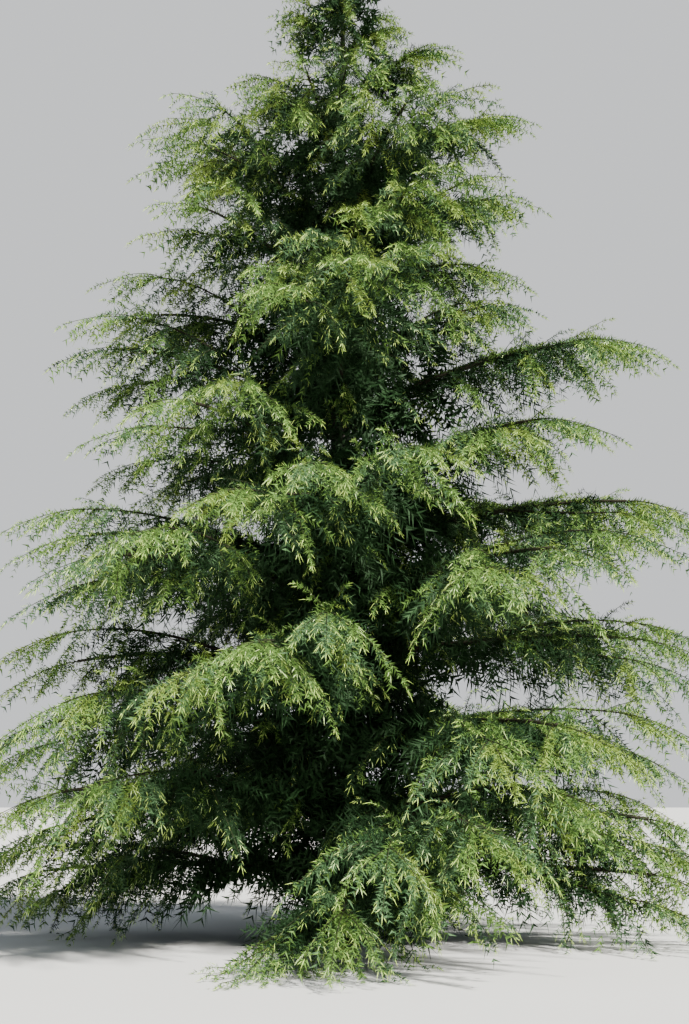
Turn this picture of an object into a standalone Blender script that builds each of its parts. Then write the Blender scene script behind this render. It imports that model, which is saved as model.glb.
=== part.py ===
"""Deodar cedar: a trunk, main boughs and foliage masses, in metres, with +Z up and the front towards -Y."""

import math
import random
from collections import namedtuple

import bmesh
import bpy
from mathutils import Vector
from mathutils.bvhtree import BVHTree

HEIGHT = 12.3
GAP = 0.0003
SEED = 4100

# Trunk
STEM_RADIUS = 0.195
TAPER_POWER = 0.92
FLARE = 0.085
FLARE_HEIGHT = 0.19
ROOT_LOBES = 5
LOBE_DEPTH = 0.11
LEAN = 0.012
BOW = 0.10
NOD = 0.16
NOD_START = 11.5
TIP_RADIUS = 0.004
TRUNK_SIDES = 12
RING_HEIGHTS = (
    0.0, 0.09, 0.22, 0.42, 0.8, 1.5, 2.3, 3.2, 4.2, 5.2, 6.2, 7.2, 8.2, 9.2, 10.2, 11.0, 11.6, 12.0,
)

# One row a tier: height on the trunk, limbs, turn in degrees, reach to the left and to the right,
# how far the limb rises, and how far its end droops.
Tier = namedtuple("Tier", "height count turn left right rise droop")
TIERS = (
    Tier(0.72, 4, -97, 4.45, 4.45, 0.08, 0.32),
    Tier(1.50, 5, -75, 4.50, 4.50, 0.15, 0.42),
    Tier(2.25, 4, 30, 4.50, 4.50, 0.25, 0.48),
    Tier(3.00, 4, -12, 4.40, 4.45, 0.35, 0.46),
    Tier(3.70, 4, 38, 4.20, 4.35, 0.45, 0.42),
    Tier(4.35, 4, -8, 4.00, 4.25, 0.55, 0.35),
    Tier(5.05, 4, 50, 3.75, 3.55, 0.65, 0.32),
    Tier(6.02, 4, 180, 3.45, 3.80, 0.98, 0.24),
    Tier(6.62, 4, 172, 3.15, 2.35, 0.88, 0.20),
    Tier(7.36, 4, 214, 2.65, 2.65, 1.00, 0.15),
    Tier(8.16, 4, 20, 2.45, 2.75, 1.02, 0.10),
    Tier(8.90, 4, 168, 2.50, 2.40, 0.85, 0.08),
    Tier(9.86, 2, 152, 1.40, 1.50, 0.58, 0.05),
    Tier(10.70, 2, 20, 0.85, 0.85, 0.50, 0.02),
    Tier(11.42, 2, 110, 0.50, 0.50, 0.45, 0.02),
)
BOUGH_TIERS = 1
BOUGH_END = 0.24
BOUGH_SIDES = 6
BOUGH_RADIUS = 0.046
LIMB_TIP_RADIUS = 0.009
TURN_JITTER = 6.0
REACH_JITTER = 0.04
SWEEP_JITTER = 0.06

# Forks and fans of needles
FORKS = ((0.30, 1, 30, 0.98), (0.44, -1, 34, 0.98))
FORK_LIFT = 0.12
FAN_LENGTH = 1.36
FAN_STEP = 0.925
FAN_TURN = 58
FAN_SPREAD = 58
FAN_TEETH = 5
FAN_NOTCH = 0.60
FAN_HUB = 0.10
FAN_THICKNESS = 0.026
FAN_DROOP = 0.46
FAN_TILT = -6
CLEARANCE = 0.006
SWELL = 1.03
GROUND_CLEARANCE = 0.03
SIZES = (1.0, 0.84, 0.70, 0.56)

Limb = namedtuple("Limb", "name tier angle height reach rise droop sweep radius rng_seed")


def clear_scene():
    for item in list(bpy.data.objects):
        bpy.data.objects.remove(item, do_unlink=True)
    for mesh in list(bpy.data.meshes):
        bpy.data.meshes.remove(mesh)


def material(name, colour, roughness):
    made = bpy.data.materials.new(name)
    made.use_nodes = True
    shader = made.node_tree.nodes["Principled BSDF"]
    shader.inputs["Base Color"].default_value = (*colour, 1.0)
    shader.inputs["Roughness"].default_value = roughness
    return made


def trunk_axis(z):
    """Centre of the trunk at this height."""
    share = z / HEIGHT
    nod = max(0.0, z - NOD_START) / (HEIGHT - NOD_START)
    x = -LEAN * z - BOW * math.sin(math.pi * share) ** 2 + NOD * nod * nod
    y = 0.05 * math.sin(2.2 * math.pi * share) * share
    return Vector((x, y, z))


def trunk_radius(z):
    share = max(0.0, 1.0 - z / HEIGHT)
    return TIP_RADIUS + (STEM_RADIUS - TIP_RADIUS) * share**TAPER_POWER + FLARE * math.exp(-z / FLARE_HEIGHT)


def trunk_rings(extra):
    rings = []
    for z in (*RING_HEIGHTS, HEIGHT):
        ring = []
        lobes = LOBE_DEPTH * math.exp(-z / (1.6 * FLARE_HEIGHT))
        for k in range(TRUNK_SIDES):
            angle = 2 * math.pi * k / TRUNK_SIDES
            radius = trunk_radius(z) * (1 + lobes * math.cos(ROOT_LOBES * angle + 0.6)) + extra
            ring.append(trunk_axis(z) + radius * Vector((math.cos(angle), math.sin(angle), 0)))
        rings.append(ring)
    return rings


def mesh_data(rings):
    """Points and triangles of a closed skin over the rings, which all have the same number of points."""
    sides = len(rings[0])
    points = [point for ring in rings for point in ring]
    faces = []
    for j in range(len(rings) - 1):
        for k in range(sides):
            a = j * sides + k
            b = j * sides + (k + 1) % sides
            faces.append((a, b, b + sides))
            faces.append((a, b + sides, a + sides))
    last = (len(rings) - 1) * sides
    faces.extend((0, k + 1, k) for k in range(1, sides - 1))
    faces.extend((last, last + k, last + k + 1) for k in range(1, sides - 1))
    return points, faces


def sweep_rings(line, radii, sides, directions=None):
    """Rings of a tapering limb along a line of points, each square to its direction."""
    rings = []
    for j, centre in enumerate(line):
        if directions:
            along = directions[j]
        else:
            along = (line[min(j + 1, len(line) - 1)] - line[max(j - 1, 0)]).normalized()
        across = along.cross(Vector((0, 0, 1))).normalized()
        up = across.cross(along).normalized()
        ring = []
        for k in range(sides):
            angle = 2 * math.pi * k / sides + math.pi / 2
            ring.append(centre + radii[j] * (math.cos(angle) * across + math.sin(angle) * up))
        rings.append(ring)
    return rings


def make_object(name, data, finish):
    points, faces = data
    bm = bmesh.new()
    corners = [bm.verts.new(point) for point in points]
    for face in faces:
        bm.faces.new([corners[k] for k in face])
    bmesh.ops.recalc_face_normals(bm, faces=bm.faces)
    mesh = bpy.data.meshes.new(name)
    bm.to_mesh(mesh)
    bm.free()
    made = bpy.data.objects.new(name, mesh)
    bpy.context.scene.collection.objects.link(made)
    if finish is not None:
        mesh.materials.append(finish)
    return made


def blend_reach(tier, angle):
    """Reach at an angle from +X, between the tier's left and right values."""
    share = 0.5 + 0.5 * math.cos(angle)
    return tier.left + (tier.right - tier.left) * share


def all_limbs():
    limbs = []
    for number, tier in enumerate(TIERS, 1):
        for k in range(tier.count):
            seed = SEED + 100 * number + k
            rng = random.Random(seed)
            turn = tier.turn + 360 * k / tier.count + rng.uniform(-TURN_JITTER, TURN_JITTER)
            angle = math.radians(turn)
            height = tier.height + rng.uniform(-0.16, 0.16) * (0.4 + 0.6 * tier.left / 4.5)
            reach = blend_reach(tier, angle) * (1 + rng.uniform(-REACH_JITTER, REACH_JITTER))
            sweep = reach * rng.uniform(-SWEEP_JITTER, SWEEP_JITTER)
            radius = min(BOUGH_RADIUS * (reach / 4.5) ** 0.8, 0.42 * trunk_radius(height))
            radius = max(radius, 1.05 * LIMB_TIP_RADIUS)
            name = f"{number:02d}{'abcdef'[k]}"
            limbs.append(Limb(name, number, angle, height, reach, tier.rise, tier.droop, sweep, radius, seed))
    return limbs


def limb_point(limb, t):
    out = Vector((math.cos(limb.angle), math.sin(limb.angle), 0))
    side = Vector((-out.y, out.x, 0))
    level = limb.rise * (1 - (1 - t) ** 2) - limb.droop * t**3.5
    start = trunk_axis(limb.height)
    return start + out * (limb.reach * t) + side * (limb.sweep * t * t) + Vector((0, 0, level))


def limb_radius(limb, t):
    return LIMB_TIP_RADIUS + (limb.radius - LIMB_TIP_RADIUS) * (1 - t) ** 0.9


def fan_size(limb):
    """Length of the limb's fans, larger on a longer limb."""
    return FAN_LENGTH * (limb.reach / 4.5) ** 0.62


def limb_stop(limb):
    """Share of the reach where the stem ends and the last fan goes on."""
    return 1 - 0.80 * fan_size(limb) / limb.reach


class Line:
    """A tapering run of straight lengths."""

    def __init__(self, points, radii, directions=None):
        self.points = points
        self.radii = radii
        self.directions = directions
        self.length = sum((b - a).length for a, b in zip(points, points[1:]))

    def at(self, share):
        """Centre, direction and radius at a share of the way along."""
        place = min(max(share, 0.0), 0.9999) * (len(self.points) - 1)
        k = int(place)
        rest = place - k
        centre = self.points[k].lerp(self.points[k + 1], rest)
        radius = self.radii[k] + (self.radii[k + 1] - self.radii[k]) * rest
        return centre, (self.points[k + 1] - self.points[k]).normalized(), radius

    def skin(self, sides):
        return mesh_data(sweep_rings(self.points, self.radii, sides, self.directions))


def limb_line(limb, start, stop, steps, pull):
    """The limb between two shares of its reach, its first point pulled along by a little."""
    shares = [start + (stop - start) * k / steps for k in range(steps + 1)]
    points = [limb_point(limb, t) for t in shares]
    ends = [(limb_point(limb, max(t - 0.02, 0)), limb_point(limb, t + 0.02)) for t in shares]
    directions = [(after - before).normalized() for before, after in ends]
    points[0] = points[0] + directions[0] * pull
    return Line(points, [limb_radius(limb, t) for t in shares], directions)


def fork_line(limb, stem, start, fork, rng):
    """A fork leaves its stem at a share of the reach, swings to one side, then follows it outwards."""
    t, side, turn, share = fork
    stop = limb_stop(limb)
    root, ahead, radius = stem.at((t - start) / (stop - start))
    swing = math.radians(side * (turn + rng.uniform(-4, 4)))
    along = turned(Vector((ahead.x, ahead.y, 0)), math.degrees(swing)).normalized()
    length = limb.reach * (stop - t) * (share + rng.uniform(-0.06, 0.06))
    lift = FORK_LIFT * side * (0.4 + 0.6 * limb.reach / 4.5) + rng.uniform(-0.05, 0.05)
    curl = Vector((-along.y, along.x, 0)) * (-side * 0.10 * length)
    level = limb_point(limb, t).z
    points = []
    for k in range(3):
        s = k / 2
        climb = limb_point(limb, t + (stop - t) * s).z - level + 2 * lift * math.sin(0.5 * math.pi * s)
        points.append(root + along * (length * s) + curl * s * s + Vector((0, 0, climb)))
    base = 0.72 * radius
    return Line(points, [base + (LIMB_TIP_RADIUS - base) * k / 2 for k in range(3)])


def fan_points(root, forward, length, droop, rng):
    """A toothed, drooping fan of needles: its rim from right to left, and the top and foot of its hub."""
    flat = Vector((forward.x, forward.y, 0)).normalized()
    side = Vector((-flat.y, flat.x, 0))
    tips = []
    for k in range(FAN_TEETH):
        share = 2 * k / (FAN_TEETH - 1) - 1
        angle = math.radians(FAN_SPREAD * share + rng.uniform(-4, 4))
        tips.append((angle, length * (1 - 0.30 * abs(share) ** 1.5) * (1 + rng.uniform(-0.07, 0.07))))

    def rim_point(angle, reach):
        fall = -droop * length * (reach / length) ** 1.7
        climb = forward.z * reach * math.cos(angle)
        return root + (flat * math.cos(angle) + side * math.sin(angle)) * reach + Vector((0, 0, fall + climb))

    rim = []
    for k, (angle, reach) in enumerate(tips):
        rim.append(rim_point(angle, reach))
        if k + 1 < len(tips):
            next_angle, next_reach = tips[k + 1]
            rim.append(rim_point(0.5 * (angle + next_angle), FAN_NOTCH * 0.5 * (reach + next_reach)))
    hub = root + forward * (FAN_HUB * length)
    half = Vector((0, 0, 0.5 * FAN_THICKNESS * length))
    return rim, hub + half, hub - half


def fan_skin(root, forward, sink, length, droop, rng):
    """A fan that stands on the side of a twig, its root sunk in it."""
    rim, over, under = fan_points(root, forward, length, droop, rng)
    points = [root - forward * sink, *rim, over, under]
    top = len(rim) + 1
    faces = []
    for k in range(top):
        after = (k + 1) % top
        faces.append((top, k, after))
        faces.append((top + 1, after, k))
    return points, faces


def tipped_skin(line, fan):
    """A three-sided twig that runs out into a fan, as one closed skin."""
    points, faces = line.skin(3)
    faces = faces[:-1]
    rim, over, under = fan
    up, left, right = range(len(points) - 3, len(points))
    first = len(points)
    last = first + len(rim) - 1
    top = last + 1
    points = [*points, *rim, over, under]
    for k in range(first, last):
        faces.append((top, k, k + 1))
        faces.append((top + 1, k + 1, k))
    faces.append((up, top, last))
    faces.append((up, last, left))
    faces.append((left, last, top + 1))
    faces.append((left, top + 1, right))
    faces.append((right, top + 1, first))
    faces.append((right, first, up))
    faces.append((up, first, top))
    return points, faces


def turned(direction, degrees):
    angle = math.radians(degrees)
    return Vector((
        direction.x * math.cos(angle) - direction.y * math.sin(angle),
        direction.x * math.sin(angle) + direction.y * math.cos(angle),
        direction.z,
    ))


def fan_sites(line, first, size, rng):
    """Where fans stand along a line, on alternate sides from its tip back towards its root."""
    sites = []
    steps = max(1, round(line.length * (1 - first) / (FAN_STEP * size / FAN_LENGTH + 0.02)))
    side = 1 if rng.random() < 0.5 else -1
    for k in range(steps):
        share = 1 - (1 - first) * (k + 0.55) / steps
        centre, ahead, radius = line.at(share)
        forward = turned(ahead, side * (FAN_TURN + rng.uniform(-7, 7)))
        forward.z = math.sin(math.radians(FAN_TILT + rng.uniform(-6, 6))) + 0.5 * ahead.z
        length = size * (1 - 0.12 * abs(2 * share - 1)) * rng.uniform(0.92, 1.06)
        droop = FAN_DROOP * rng.uniform(0.9, 1.25)
        sites.append((centre, forward.normalized(), 0.15 * radius, length, droop))
        side = -side
    return sites


def tree_of(data):
    return BVHTree.FromPolygons(data[0], data[1])


def bounds_of(data):
    low = [min(point[axis] for point in data[0]) for axis in range(3)]
    high = [max(point[axis] for point in data[0]) for axis in range(3)]
    return low, high


def apart(a, b):
    return any(a[0][axis] > b[1][axis] or b[0][axis] > a[1][axis] for axis in range(3))


class Space:
    """Everything placed so far, to keep each new piece clear of what isn't its own twig."""

    def __init__(self):
        self.held = []

    def add(self, key, data):
        self.held.append((key, bounds_of(data), tree_of(data)))

    def free(self, own, data):
        """True if the piece, also a little larger or moved up or down, touches nothing but its own twig."""
        middle = sum(data[0], Vector()) / len(data[0])
        swollen = [middle + (point - middle) * SWELL for point in data[0]]
        raised = [point + Vector((0, 0, CLEARANCE)) for point in data[0]]
        lowered = [point - Vector((0, 0, CLEARANCE)) for point in data[0]]
        for points in (data[0], swollen, raised, lowered):
            trial = (points, data[1])
            box = bounds_of(trial)
            if box[0][2] < GROUND_CLEARANCE:
                return False
            tree = tree_of(trial)
            for key, bounds, other in self.held:
                if key != own and not apart(box, bounds) and tree.overlap(other):
                    return False
        return True


def limb_start(limb):
    """Share of the reach where the limb's foliage mass begins."""
    return BOUGH_END if limb.tier <= BOUGH_TIERS else 0.0


def place_stems(limbs, space):
    """The stem of each mass, with the bare bough it grows on kept clear."""
    stems = {}
    for limb in limbs:
        start = limb_start(limb)
        stem = limb_line(limb, start, limb_stop(limb), 4, GAP if start else 0.0)
        stems[limb.name] = stem
        guard = Line(stem.points, [1.25 * radius for radius in stem.radii], stem.directions)
        space.add(limb.name + " stem", guard.skin(3))
        if start:
            inner = 1.3 * trunk_radius(limb.height) / limb.reach
            bare = limb_line(limb, inner, start + 0.003, 4, 0.0)
            space.add(limb.name + " bough", bare.skin(BOUGH_SIDES))
    return stems


def place_forks(limb, stem, space, rng):
    """The stem and the forks that fit, each as its line, the share where its fans begin, and its key."""
    lines = [(stem, 0.06 if limb_start(limb) else 0.14, limb.name + " stem")]
    for number, fork in enumerate(FORKS):
        line = fork_line(limb, stem, limb_start(limb), fork, rng)
        outer = Line([line.at(0.12)[0], *line.points[1:]], line.radii).skin(3)
        if space.free(limb.name + " stem", outer):
            key = f"{limb.name} fork {number}"
            space.add(key, line.skin(3))
            lines.append((line, 0.34, key))
    return lines


def place_tip(limb, line, key, space, rng):
    """The skin of a line with the largest fan that fits at its tip."""
    centre, ahead, _ = line.at(1.0)
    luck = rng.randrange(10**9)
    for size in SIZES:
        length = 0.92 * size * fan_size(limb)
        fan = fan_points(centre, ahead, length, 0.6 * FAN_DROOP, random.Random(luck))
        loose = fan_skin(centre, ahead, 0.0, length, 0.6 * FAN_DROOP, random.Random(luck))
        if space.free(key, loose):
            space.add(key + " tip", loose)
            return tipped_skin(line, fan)
    return line.skin(3)


def grow(limbs):
    """Each mass's pieces: its stem, its forks and its fans, kept clear of every other limb's."""
    space = Space()
    space.add("trunk", mesh_data(trunk_rings(0.01)))
    stems = place_stems(limbs, space)
    lines = []
    for limb in limbs:
        rng = random.Random(limb.rng_seed + 50)
        lines.extend((limb, rng, *line) for line in place_forks(limb, stems[limb.name], space, rng))
    pieces = {limb.name: [] for limb in limbs}
    for limb, rng, line, _, key in lines:
        pieces[limb.name].append(place_tip(limb, line, key, space, rng))
    waiting = []
    for limb, rng, line, first, key in lines:
        for order, site in enumerate(fan_sites(line, first, fan_size(limb), rng)):
            waiting.append((order, len(waiting), limb, key, site, rng.randrange(10**9)))
    waiting.sort(key=lambda item: item[:2])
    count = 0
    for _, _, limb, key, (root, forward, sink, length, droop), luck in waiting:
        for size in SIZES:
            data = fan_skin(root, forward, sink, length * size, droop, random.Random(luck))
            if space.free(key, data):
                count += 1
                space.add(f"{limb.name} fan {count}", data)
                pieces[limb.name].append(data)
                break
    return pieces


def fuse(name, parts, gauge, finish):
    """One solid from a stem and what stands on it, coped to the trunk where a gauge is given."""
    body = make_object(name, parts[0], finish)
    if gauge is not None:
        cope = body.modifiers.new("cope", "BOOLEAN")
        cope.operation = "DIFFERENCE"
        cope.solver = "EXACT"
        cope.object = gauge
    group = bpy.data.collections.new("parts of " + name)
    group.hide_render = True
    bpy.context.scene.collection.children.link(group)
    for number, data in enumerate(parts[1:]):
        part = make_object(f"{name} part {number}", data, finish)
        bpy.context.scene.collection.objects.unlink(part)
        group.objects.link(part)
    if parts[1:]:
        join = body.modifiers.new("join", "BOOLEAN")
        join.operation = "UNION"
        join.solver = "EXACT"
        join.operand_type = "COLLECTION"
        join.collection = group
    bpy.context.view_layer.update()
    graph = bpy.context.evaluated_depsgraph_get()
    joined = bpy.data.meshes.new_from_object(body.evaluated_get(graph))
    old = body.data
    body.modifiers.clear()
    body.data = joined
    bpy.data.meshes.remove(old)
    joined.name = name
    for part in list(group.objects):
        bpy.data.objects.remove(part, do_unlink=True)
    bpy.data.collections.remove(group)
    drop_scraps(body)
    return body


def drop_scraps(body):
    """Keeps the largest joined body of a mesh."""
    bm = bmesh.new()
    bm.from_mesh(body.data)
    bmesh.ops.triangulate(bm, faces=bm.faces)
    seen = set()
    islands = []
    for first in bm.verts:
        if first in seen:
            continue
        island = []
        stack = [first]
        seen.add(first)
        while stack:
            vert = stack.pop()
            island.append(vert)
            for edge in vert.link_edges:
                other = edge.other_vert(vert)
                if other not in seen:
                    seen.add(other)
                    stack.append(other)
        islands.append(island)
    islands.sort(key=len)
    for island in islands[:-1]:
        bmesh.ops.delete(bm, geom=island, context="VERTS")
    bm.to_mesh(body.data)
    bm.free()


def main():
    clear_scene()
    bark = material("bark", (0.13, 0.09, 0.065), 0.9)
    make_object("trunk", mesh_data(trunk_rings(0.0)), bark)
    gauge = make_object("trunk gauge", mesh_data(trunk_rings(GAP * 1.5)), None)
    gauge.hide_render = True
    limbs = all_limbs()
    pieces = grow(limbs)
    for limb in limbs:
        held = limb_start(limb) > 0
        if held:
            wood = material("bark_" + limb.name, (0.12, 0.085, 0.06), 0.9)
            bough = limb_line(limb, 0.0, BOUGH_END, 4, 0.0).skin(BOUGH_SIDES)
            fuse("bough_" + limb.name, [bough], gauge, wood)
        shade = 0.8 + 0.03 * limb.tier
        green = material("needles_" + limb.name, (0.10 * shade, 0.16 * shade, 0.07 * shade), 0.7)
        fuse("foliage_" + limb.name, pieces[limb.name], None if held else gauge, green)
    bpy.data.objects.remove(gauge, do_unlink=True)


main()
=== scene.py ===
"""Deodar cedar, dressed: bark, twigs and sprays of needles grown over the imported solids."""

import logging
import math
from dataclasses import dataclass, field
from enum import IntEnum
from random import Random

import bmesh
import bpy
import numpy as np
from bpy.types import ID, Material, Node, NodeSocket, NodeTree, Object
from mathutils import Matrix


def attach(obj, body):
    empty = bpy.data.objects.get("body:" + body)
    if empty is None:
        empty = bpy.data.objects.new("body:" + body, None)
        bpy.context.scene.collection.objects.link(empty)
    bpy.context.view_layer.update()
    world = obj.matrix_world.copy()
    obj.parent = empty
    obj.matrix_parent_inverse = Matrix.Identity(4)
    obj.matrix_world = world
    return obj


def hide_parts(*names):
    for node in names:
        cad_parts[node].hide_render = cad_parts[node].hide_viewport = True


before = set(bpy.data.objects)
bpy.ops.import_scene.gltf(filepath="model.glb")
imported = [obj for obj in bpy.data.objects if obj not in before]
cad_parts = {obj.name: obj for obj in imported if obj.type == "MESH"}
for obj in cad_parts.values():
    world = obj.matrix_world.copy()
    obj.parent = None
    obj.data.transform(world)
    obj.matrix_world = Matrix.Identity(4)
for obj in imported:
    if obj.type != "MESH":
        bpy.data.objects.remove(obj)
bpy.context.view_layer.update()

log = logging.getLogger("cedar")

# Sizes and seed of the solids, repeated from their source, in metres
HEIGHT = 12.3
SEED = 4100
STEM_RADIUS = 0.195
TIP_RADIUS = 0.004
TAPER_POWER = 0.92
FLARE = 0.085
FLARE_HEIGHT = 0.19
ROOT_LOBES = 5
LOBE_DEPTH = 0.11
LOBE_FADE = 0.304
LEAN = 0.012
BOW = 0.10
NOD = 0.16
NOD_START = 11.5
UP = np.array((0.0, 0.0, 1.0))
Array = np.ndarray
Arrays = tuple[Array, Array, Array]
# Angles in radians
FULL_TURN = 6.283
THIRD_TURN = 2.094
SPIRAL_STEP = 2.4
ANY_ROLL = 3.1


class Tone(IntEnum):
    """Tints of needles, one a material slot of every needle piece."""

    # The first tint is a dark tint dealt to some sprays, and the painted shade of the fill sprays and of the
    # mats under the branches
    DEEP_AND_SHADE = 0
    BLUE = 1
    MID = 2
    GOLD = 3
    TIP = 4
    SILVER = 5


# ---- helpers


def set_inputs(tree: NodeTree, node: Node, inputs: dict) -> None:
    """Fills a node's inputs.

    Args:
        tree: The node tree.
        node: The node.
        inputs: By name or number, a value, an output to link or a node, whose first output is linked.
    """
    for key, value in inputs.items():
        if isinstance(value, Node):
            value = next(output for output in value.outputs if output.enabled)
        if isinstance(value, NodeSocket):
            tree.links.new(value, node.inputs[key])
        else:
            node.inputs[key].default_value = value


def add_node(tree: NodeTree, kind: str, inputs: dict | None = None, **settings: object) -> Node:
    """Adds a node, sets it up and fills its inputs.

    Args:
        tree: The node tree.
        kind: Type of the node, without its first word.
        inputs: As in set_inputs.
        settings: Properties of the node, such as its operation.

    Returns:
        The node.
    """
    node = tree.nodes.new(f"ShaderNode{kind}")
    for name, value in settings.items():
        setattr(node, name, value)
    set_inputs(tree, node, inputs or {})
    return node


def new_material(name: str) -> tuple[Material, NodeTree, NodeSocket]:
    """Makes a material.

    Args:
        name: Its name.

    Returns:
        The material, its node tree and its Object coordinates.
    """
    made = bpy.data.materials.new(name)
    made.use_nodes = True
    return made, made.node_tree, add_node(made.node_tree, "TexCoord").outputs["Object"]


def add_object(name: str, data: ID) -> Object:
    """Adds an object to the scene, at the origin.

    Args:
        name: Name of the object.
        data: Its mesh, lamp or lens.

    Returns:
        The object.
    """
    made = bpy.data.objects.new(name, data)
    bpy.context.scene.collection.objects.link(made)
    return made


# ---- finishes


@dataclass(frozen=True)
class PlainFinish:
    """A plain tint of needles or of thin twigs, with fine relief.

    Args:
        name: Name of the material.
        colour: Linear base colour.
        roughness: Mean roughness.
        grain: Grains in a metre.
        gloss: Strength of the shine.
        variation: How far the roughness strays from its mean.
    """

    name: str
    colour: tuple[float, float, float]
    roughness: float
    grain: float = 160.0
    gloss: float = 0.12
    variation: float = 0.08

    def build(self) -> Material:
        """Makes the material.

        Returns:
            The material, its roughness and relief varied by noise.
        """
        made, tree, coords = new_material(self.name)
        grain = add_node(tree, "TexNoise", {"Vector": coords, "Scale": self.grain, "Detail": 1.0})
        low, high = self.roughness - self.variation, self.roughness + self.variation
        rough = add_node(tree, "MapRange", {"Value": grain, "To Min": low, "To Max": high})
        relief = add_node(tree, "Bump", {"Height": grain, "Strength": 0.25, "Distance": 0.002})
        set_inputs(tree, tree.nodes["Principled BSDF"], {
            "Base Color": (*self.colour, 1.0),
            "Specular IOR Level": self.gloss,
            "Roughness": rough,
            "Normal": relief,
        })
        return made


# In the order of Tone
NEEDLES = (
    # The deep tint: dark needles on some sprays, and the painted shade of the inner fill and of the mats
    # under the branches
    PlainFinish("needles_deep_and_shade", (0.014, 0.038, 0.012), 0.62),
    PlainFinish("needles_blue", (0.062, 0.126, 0.052), 0.58),
    PlainFinish("needles_mid", (0.098, 0.186, 0.038), 0.58),
    PlainFinish("needles_gold", (0.160, 0.240, 0.040), 0.58),
    PlainFinish("needles_tip", (0.540, 0.700, 0.200), 0.55),
    PlainFinish("needles_silver", (0.640, 0.800, 0.380), 0.55),
)
TWIGS = (
    PlainFinish("twig_old", (0.024, 0.022, 0.014), 0.88, 90.0),
    PlainFinish("twig_young", (0.034, 0.040, 0.018), 0.80, 140.0),
)


def bark_pattern() -> NodeTree:
    """Builds the shared pattern of furrowed bark.

    Returns:
        A node group that gives a mask of the plates and their height from Object coordinates.
    """
    group = bpy.data.node_groups.new("bark_pattern", "ShaderNodeTree")
    for name, way in (("Scale", "INPUT"), ("Plates", "OUTPUT"), ("Height", "OUTPUT")):
        group.interface.new_socket(name, in_out=way, socket_type="NodeSocketFloat")
    scale = group.nodes.new("NodeGroupInput").outputs["Scale"]
    coords = add_node(group, "TexCoord").outputs["Object"]
    stretch = add_node(group, "Mapping", {"Vector": coords, "Scale": (1.0, 1.0, 0.28)})
    warp = add_node(group, "TexNoise", {"Vector": stretch, "Scale": scale, "Detail": 3.0}).outputs["Color"]
    wander = {0: warp, 1: (0.05, 0.05, 0.05), 2: stretch}
    bent = add_node(group, "VectorMath", wander, operation="MULTIPLY_ADD")
    cells = add_node(group, "TexVoronoi", {"Vector": bent, "Scale": scale}, feature="DISTANCE_TO_EDGE")
    finer = add_node(group, "Math", {0: scale, 1: 4.0}, operation="MULTIPLY")
    grain = add_node(group, "TexNoise", {"Vector": bent, "Scale": finer, "Detail": 5.0, "Roughness": 0.65})
    plates = add_node(group, "MapRange", {"Value": cells, "From Max": 0.22})
    height = add_node(group, "Math", {0: grain, 1: 0.35, 2: plates}, operation="MULTIPLY_ADD")
    set_inputs(group, group.nodes.new("NodeGroupOutput"), {"Plates": plates, "Height": height})
    return group


@dataclass(frozen=True)
class BarkFinish:
    """Furrowed bark.

    Args:
        name: Name of the material.
        furrow: Linear colour in the furrows.
        plate: Linear colour of the plates.
        weathered: Linear colour of weathered patches.
        scale: Plates in a metre round the limb.
        relief: Depth of the relief in metres.
    """

    name: str
    furrow: tuple[float, float, float]
    plate: tuple[float, float, float]
    weathered: tuple[float, float, float]
    scale: float
    relief: float

    def build(self, pattern: NodeTree) -> Material:
        """Makes the material.

        Args:
            pattern: The shared bark pattern.

        Returns:
            The material.
        """
        made, tree, coords = new_material(self.name)
        bark = add_node(tree, "Group", {"Scale": self.scale}, node_tree=pattern)
        plates, height = bark.outputs["Plates"], bark.outputs["Height"]
        patches = add_node(tree, "TexNoise", {"Vector": coords, "Scale": 3.5, "Detail": 4.0})
        mask = add_node(tree, "MapRange", {"Value": patches, "From Min": 0.45, "From Max": 0.7})
        bare = {"Factor": plates, "A": (*self.furrow, 1.0), "B": (*self.plate, 1.0)}
        base = add_node(tree, "Mix", bare, data_type="RGBA")
        aged = {"Factor": mask, "A": base, "B": (*self.weathered, 1.0)}
        worn = add_node(tree, "Mix", aged, data_type="RGBA")
        rough = add_node(tree, "MapRange", {"Value": plates, "To Min": 0.95, "To Max": 0.72})
        relief = add_node(tree, "Bump", {"Height": height, "Strength": 0.8, "Distance": self.relief})
        set_inputs(tree, tree.nodes["Principled BSDF"], {
            "Base Color": worn,
            "Roughness": rough,
            "Normal": relief,
        })
        return made


FURROW = (0.010, 0.008, 0.006)
TRUNK_BARK = BarkFinish("bark_trunk", FURROW, (0.036, 0.030, 0.024), (0.060, 0.054, 0.044), 16.0, 0.012)
BOUGH_BARK = BarkFinish("bark_bough", FURROW, (0.032, 0.027, 0.020), (0.050, 0.044, 0.034), 38.0, 0.004)


# ---- the growth rule


@dataclass(frozen=True)
class Tier:
    """A ring of limbs.

    Args:
        height: Height on the trunk in metres.
        count: Limbs in the ring.
        turn: Angle of the first limb from +X in degrees.
        left: Reach towards -X in metres.
        right: Reach towards +X in metres.
        rise: How far a limb rises.
        droop: How far its end droops.
    """

    height: float
    count: int
    turn: float
    left: float
    right: float
    rise: float
    droop: float


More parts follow.
